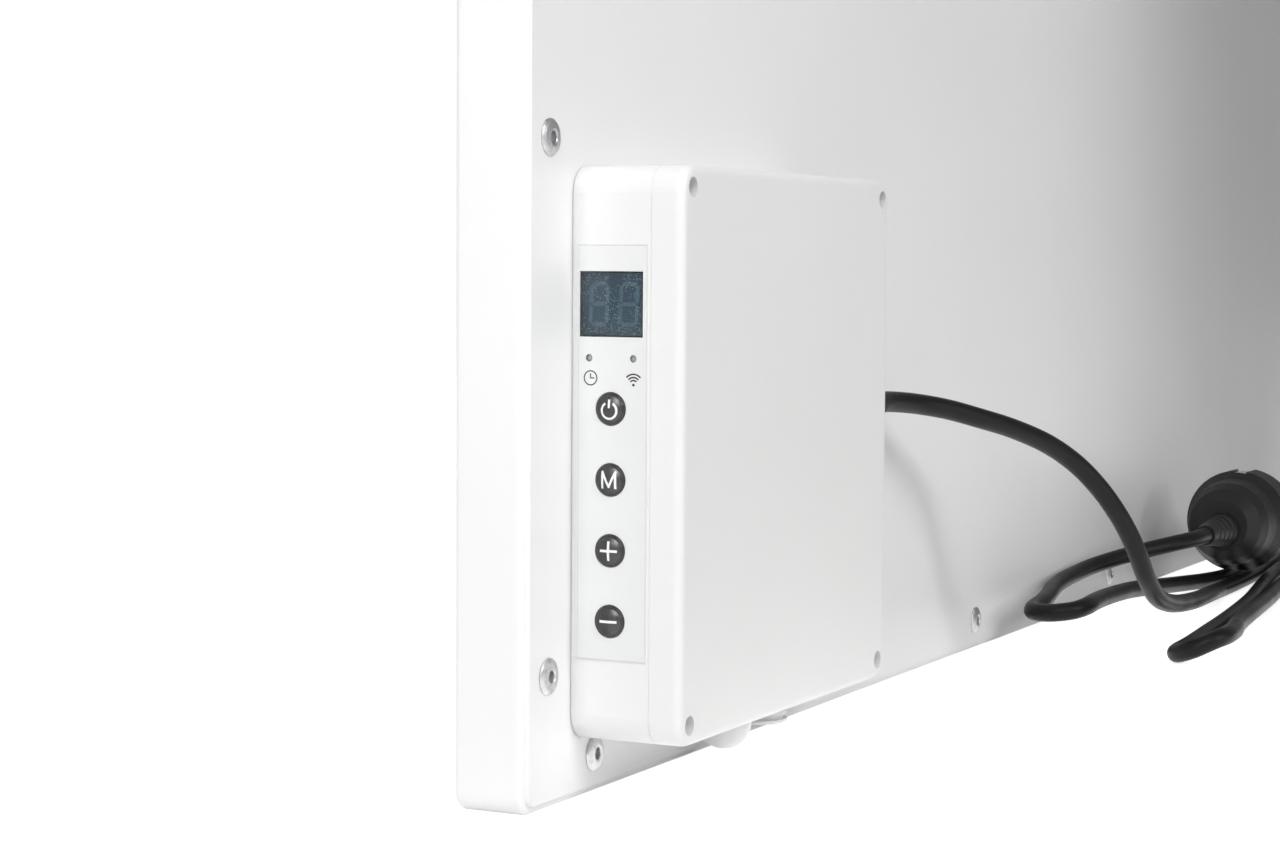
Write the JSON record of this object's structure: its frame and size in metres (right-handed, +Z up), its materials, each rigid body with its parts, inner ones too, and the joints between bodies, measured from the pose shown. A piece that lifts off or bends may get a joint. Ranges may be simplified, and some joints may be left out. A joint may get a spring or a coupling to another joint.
{
  "type": "flat infrared panel heater",
  "caption": "Flat white panel heater standing on its lower edge, with a control box, display, keys and a tied-up mains cord on its rear plate.",
  "frame": {"origin": "under the middle of the panel, on the surface that it stands on, at the middle of its depth with the control box; the cord pieces are not counted", "axes": "+X along the panel, towards the keys of the control box; +Y out of the rear plate; +Z up"},
  "size_m": [1, 0.097, 0.6],
  "materials": {
    "tray_paint": "satin white powder coat",
    "plate_paint": "satin light grey powder coat",
    "heater_film": "carbon film laminate",
    "copper": "bare copper strip",
    "insulation": "glass fibre felt board",
    "foil": "bright foil",
    "rivet_aluminium": "plain aluminium, slightly dull",
    "zinc_steel": "zinc plated",
    "dark_part": "moulded, matt",
    "lead_jacket": "silicone insulation",
    "earth_jacket": "silicone insulation",
    "black_rubber": "matt",
    "white_plastic": "fine spark texture",
    "label_film": "satin printed film",
    "display_glass": "clear dark window",
    "display_body": "unlit display",
    "circuit_board": "solder mask",
    "lamp_lens": "clear lens, unlit",
    "black_key": "satin",
    "relay_case": "moulded",
    "capacitor_case": "moulded",
    "fuse_tube": "clear tube with plated caps",
    "terminal_case": "moulded",
    "ribbon": "flat ribbon",
    "clear_dome": "translucent",
    "cord_jacket": "satin",
    "core_jacket": "insulated cores",
    "tie_plastic": "nylon",
    "plug_rubber": "moulded, satin",
    "contact_metal": "nickel plated"
  },
  "bodies": {
    "heater": {"front_panel": "tray_paint", "heater_film": "heater_film", "busbars": "copper", "insulation_board": "insulation", "reflector_foil": "foil", "back_plate": "plate_paint", "plate_rivets": "rivet_aluminium", "wall_inserts": "zinc_steel", "thermal_cutouts": "dark_part", "heater_leads": "lead_jacket", "earth_lead": "earth_jacket", "earth_stud": "zinc_steel", "lead_grommet": "black_rubber", "control_box_base": "white_plastic", "control_box_lid": "white_plastic", "lid_screws": "zinc_steel", "base_screws": "zinc_steel", "label_film": "label_film", "display_window": "display_glass", "display_module": "display_body", "control_board": "circuit_board", "indicator_lamps": "lamp_lens", "tact_switches": "dark_part", "power_board": "circuit_board", "board_screws": "zinc_steel", "relay": "relay_case", "transformer": "dark_part", "line_capacitor": "capacitor_case", "smoothing_capacitor": "dark_part", "fuse": "fuse_tube", "terminal_block": "terminal_case", "radio_module": "zinc_steel", "buzzer": "dark_part", "board_link": "ribbon", "room_sensor": "dark_part", "sensor_dome": "clear_dome", "blanking_plug": "white_plastic", "strain_relief": "black_rubber", "cord_clamp": "white_plastic", "clamp_screws": "zinc_steel", "cord_inner_end": "cord_jacket", "cord_cores": "core_jacket", "power_cord": "cord_jacket", "cord_hank": "cord_jacket", "cable_tie": "tie_plastic", "plug_body": "plug_rubber", "plug_contacts": "contact_metal"},
    "power_button": {"power_key": "black_key", "power_plunger": "dark_part"},
    "mode_button": {"mode_key": "black_key", "mode_plunger": "dark_part"},
    "plus_button": {"plus_key": "black_key", "plus_plunger": "dark_part"},
    "minus_button": {"minus_key": "black_key", "minus_plunger": "dark_part"}
  },
  "joints": [
    {"name": "power_press", "type": "slide", "parent": "heater", "child": "power_button", "axis": [-1, 0, 0], "range_m": [0, 0.0005], "stiffness_N_per_m": 3000},
    {"name": "mode_press", "type": "slide", "parent": "heater", "child": "mode_button", "axis": [-1, 0, 0], "range_m": [0, 0.0005], "stiffness_N_per_m": 3000},
    {"name": "plus_press", "type": "slide", "parent": "heater", "child": "plus_button", "axis": [-1, 0, 0], "range_m": [0, 0.0005], "stiffness_N_per_m": 3000},
    {"name": "minus_press", "type": "slide", "parent": "heater", "child": "minus_button", "axis": [-1, 0, 0], "range_m": [0, 0.0005], "stiffness_N_per_m": 3000}
  ]
}
